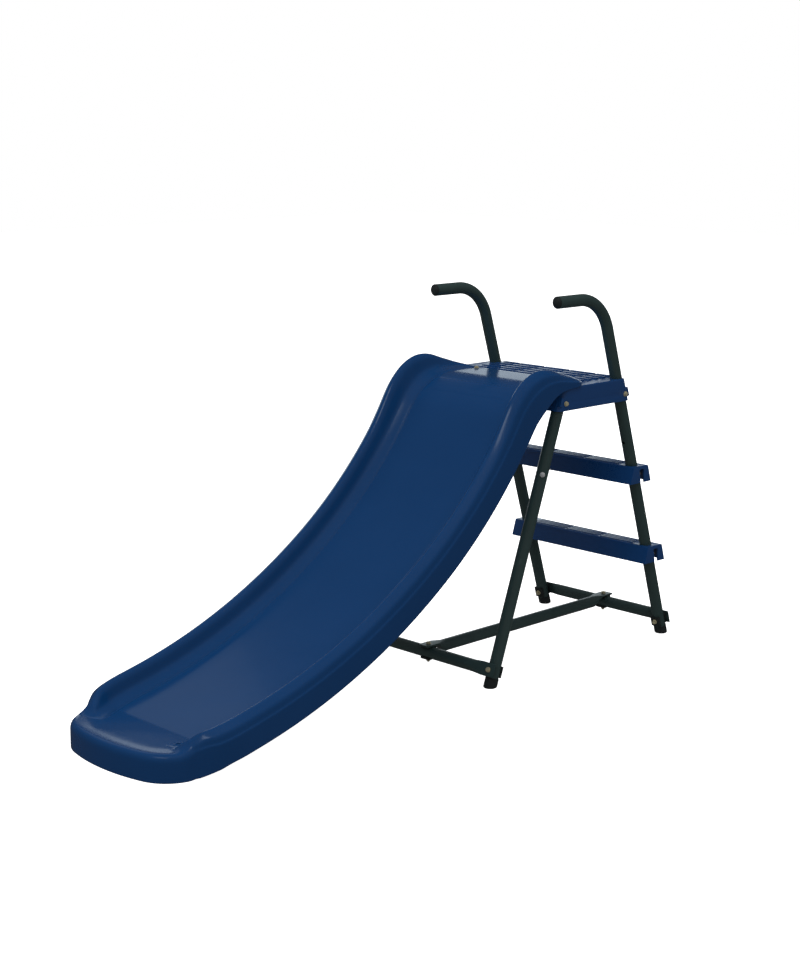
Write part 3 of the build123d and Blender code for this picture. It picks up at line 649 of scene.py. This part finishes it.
# ---- operators ------------------------------------------------------------------------------------------
class SLIDE_OT_stage(bpy.types.Operator):
    """Camera, pale floor and soft studio light"""
    bl_idname = "slide.stage"
    bl_label = "Camera, floor and light"

    def execute(self, context):
        self.camera(context)
        self.floor(context)
        self.lights(context)
        self.backdrop(context)
        return {"FINISHED"}

    def camera(self, context):
        lens = bpy.data.cameras.new("camera")
        lens.lens, lens.sensor_width, lens.sensor_fit = FOCAL_LENGTH, 36.0, "AUTO"
        lens.clip_end = 2 * FLOOR_SIZE
        camera = bpy.data.objects.new("camera", lens)
        context.collection.objects.link(camera)
        turn = Vector(CAMERA_AHEAD).normalized().to_track_quat("-Z", "Y").to_matrix().to_4x4()
        roll = Matrix.Rotation(radians(CAMERA_ROLL), 4, "Z")
        camera.matrix_world = Matrix.Translation(CAMERA_PLACE) @ turn @ roll
        context.scene.camera = camera

    def floor(self, context):
        bpy.ops.object.select_all(action="DESELECT")
        bpy.ops.mesh.primitive_grid_add(x_subdivisions=24, y_subdivisions=24, size=FLOOR_SIZE)
        floor = context.object
        floor.name = "floor"
        floor.data.materials.append(pale_floor("studio_floor", context.scene.slide_finishes.floor))
        floor.visible_glossy = floor.visible_diffuse = False

    def lights(self, context):
        for name, place, wide, high, power, glossy in LAMPS:
            lamp = bpy.data.lights.new(name, "AREA")
            lamp.shape, lamp.size, lamp.size_y, lamp.energy = "RECTANGLE", wide, high, power
            lamp.color = COOL if glossy else WHITE
            light = bpy.data.objects.new(name, lamp)
            light.location = place
            ahead = Vector(LIT_PLACE) - Vector(place)
            light.rotation_euler = ahead.to_track_quat("-Z", "Y").to_euler()
            light.visible_camera, light.visible_glossy = False, glossy
            context.collection.objects.link(light)

    def backdrop(self, context):
        """White to the eye, dim in the gloss, and for other light a grey that rises to white with height."""
        world = bpy.data.worlds.new("studio")
        world.use_nodes = True
        tree = world.node_tree
        soft = tree.nodes["Background"]
        white, dim = (tree.nodes.new("ShaderNodeBackground") for _ in range(2))
        sky = tree.nodes.new("ShaderNodeTexCoord")
        height = tree.nodes.new("ShaderNodeSeparateXYZ")
        ramp = tree.nodes.new("ShaderNodeValToRGB")
        seen = tree.nodes.new("ShaderNodeLightPath")
        shine, both = (tree.nodes.new("ShaderNodeMixShader") for _ in range(2))
        ramp.color_ramp.elements[0].color = tinted(WHITE, LOW_SKY)
        ramp.color_ramp.elements[1].color = tinted(WHITE, 1.0)
        white.inputs["Color"].default_value = tinted(WHITE, 1.0)
        dim.inputs["Color"].default_value = tinted(WHITE, GLOSS_SKY)
        for source, target in (
            (sky.outputs["Generated"], height.inputs[0]), (height.outputs["Z"], ramp.inputs[0]),
            (ramp.outputs["Color"], soft.inputs["Color"]),
            (seen.outputs["Is Glossy Ray"], shine.inputs[0]), (soft.outputs[0], shine.inputs[1]),
            (dim.outputs[0], shine.inputs[2]),
            (seen.outputs["Is Camera Ray"], both.inputs[0]), (shine.outputs[0], both.inputs[1]),
            (white.outputs[0], both.inputs[2]), (both.outputs[0], tree.nodes["World Output"].inputs[0]),
        ):
            tree.links.new(source, target)
        context.scene.world = world
        context.scene.view_settings.view_transform = "Standard"


class SLIDE_OT_chute(bpy.types.Operator):
    """Moulded trough chute with rolled rims, a humped top and a rounded exit"""
    bl_idname = "slide.chute"
    bl_label = "Chute"

    def execute(self, context):
        sizes = context.scene.slide_chute
        piece = bpy.data.objects.new("chute_moulding", ChuteBuild(sizes).build())
        context.collection.objects.link(piece)
        alone(piece)
        bpy.ops.object.mode_set(mode="EDIT")
        bpy.ops.mesh.select_all(action="SELECT")
        bpy.ops.mesh.remove_doubles(threshold=CHUTE_WELD)
        bpy.ops.mesh.normals_make_consistent(inside=False)
        bpy.ops.object.mode_set(mode="OBJECT")
        inside = Vector((0.0, 0.0, 0.3))
        middle = min(piece.data.polygons, key=lambda face: (face.center - inside).length)
        if middle.normal.z < 0:
            piece.data.flip_normals()
        applied(piece, "SOLIDIFY", thickness=sizes.wall, offset=-1.0, use_even_offset=False)
        applied(piece, "SUBSURF", levels=1, render_levels=1)
        alone(piece)
        bpy.ops.object.shade_smooth_by_angle(angle=radians(50.0))
        tone = context.scene.slide_finishes.chute
        plastic = polyethylene("chute_polyethylene", tone, gloss=0.16, grain=260.0, streaks=0.03)
        settle(piece, plastic, "chute_plastic", "slide_chute")
        return {"FINISHED"}


class SLIDE_OT_mouldings(bpy.types.Operator):
    """Ribbed platform and the two ladder treads"""
    bl_idname = "slide.mouldings"
    bl_label = "Platform and treads"

    def execute(self, context):
        scene = context.scene
        tone = scene.slide_finishes.moulded
        plastic = polyethylene("satin_polyethylene", tone, gloss=0.24, grain=420.0, streaks=0.04)
        for node in ("platform", "step_upper", "step_lower"):
            piece = rounded(node, scene.slide_edges.moulded, steps=3)
            settle(piece, plastic, "moulded_plastic", node)
        return {"FINISHED"}


class SLIDE_OT_frame(bpy.types.Operator):
    """Powder coated ladder uprights with handles, front legs, crossbars and brace"""
    bl_idname = "slide.frame"
    bl_label = "Tube frame"

    def execute(self, context):
        coat = powder_coat("powder_coat", context.scene.slide_finishes.tube)
        for node in ("upright_left", "upright_right", "front_leg_left", "front_leg_right",
                     "front_crossbar", "rear_crossbar", "centre_brace"):
            piece = rounded(node, 0.0, steps=1, soft=40.0)
            settle(piece, coat, "frame_tube", node)
        return {"FINISHED"}


class SLIDE_OT_caps(bpy.types.Operator):
    """Foot caps, handle plugs and tube saddles"""
    bl_idname = "slide.caps"
    bl_label = "Caps, plugs and saddles"

    def execute(self, context):
        black = soft_black("black_plastic", context.scene.slide_finishes.black)
        nodes = [f"handle_plug_{side}" for side in SIDES]
        nodes += [f"foot_cap_{end}_{side}" for end in ("front", "rear") for side in SIDES]
        nodes += [f"{end}_{what}_saddles" for end in ("front", "rear") for what in ("leg", "brace")]
        for node in nodes:
            piece = rounded(node, context.scene.slide_edges.rubber, steps=3)
            settle(piece, black, "black_plastic", node)
        return {"FINISHED"}


class SLIDE_OT_fasteners(bpy.types.Operator):
    """Yellow zinc bolts, nuts and washers, and the bright screws in the front legs"""
    bl_idname = "slide.fasteners"
    bl_label = "Fasteners"

    def execute(self, context):
        tones, edge = context.scene.slide_finishes, context.scene.slide_edges.steel
        yellow = plated("yellow_zinc", tones.zinc, other=(0.50, 0.50, 0.36), mottling=0.55)
        bright = plated("bright_zinc", tones.bright, other=(0.55, 0.57, 0.60), mottling=0.35)
        for joint in ("chute", "platform", "step", "crossbar", "brace"):
            for kind in ("bolts", "nuts", "washers"):
                node = f"{joint}_{kind}"
                settle(rounded(node, edge, steps=2), yellow, "yellow_zinc", node)
        screws = "front_leg_screws"
        settle(rounded(screws, edge, steps=2), bright, "bright_screw", screws)
        return {"FINISHED"}


class SLIDE_PT_panel(bpy.types.Panel):
    """Lists the slide's pieces"""
    bl_idname = "SLIDE_PT_panel"
    bl_label = "Garden slide"
    bl_space_type = "VIEW_3D"
    bl_region_type = "UI"
    bl_category = "Slide"

    def draw(self, context):
        for operator in OPERATORS:
            self.layout.operator(operator.bl_idname)
        for group in ("slide_chute", "slide_edges", "slide_finishes"):
            values = getattr(context.scene, group)
            box = self.layout.box()
            for name in values.__annotations__:
                box.prop(values, name)


GROUPS = {"slide_chute": ChuteSizes, "slide_edges": EdgeSizes, "slide_finishes": Finishes}
OPERATORS = (SLIDE_OT_stage, SLIDE_OT_chute, SLIDE_OT_mouldings, SLIDE_OT_frame, SLIDE_OT_caps,
             SLIDE_OT_fasteners)


def register():
    for made in (*GROUPS.values(), *OPERATORS, SLIDE_PT_panel):
        bpy.utils.register_class(made)
    for name, group in GROUPS.items():
        setattr(bpy.types.Scene, name, bpy.props.PointerProperty(type=group))


def unregister():
    for name in GROUPS:
        delattr(bpy.types.Scene, name)
    for made in reversed((*GROUPS.values(), *OPERATORS, SLIDE_PT_panel)):
        bpy.utils.unregister_class(made)


def main():
    register()
    for operator in OPERATORS:
        group, name = operator.bl_idname.split(".")
        getattr(getattr(bpy.ops, group), name)()


if __name__ == "__main__":
    main()
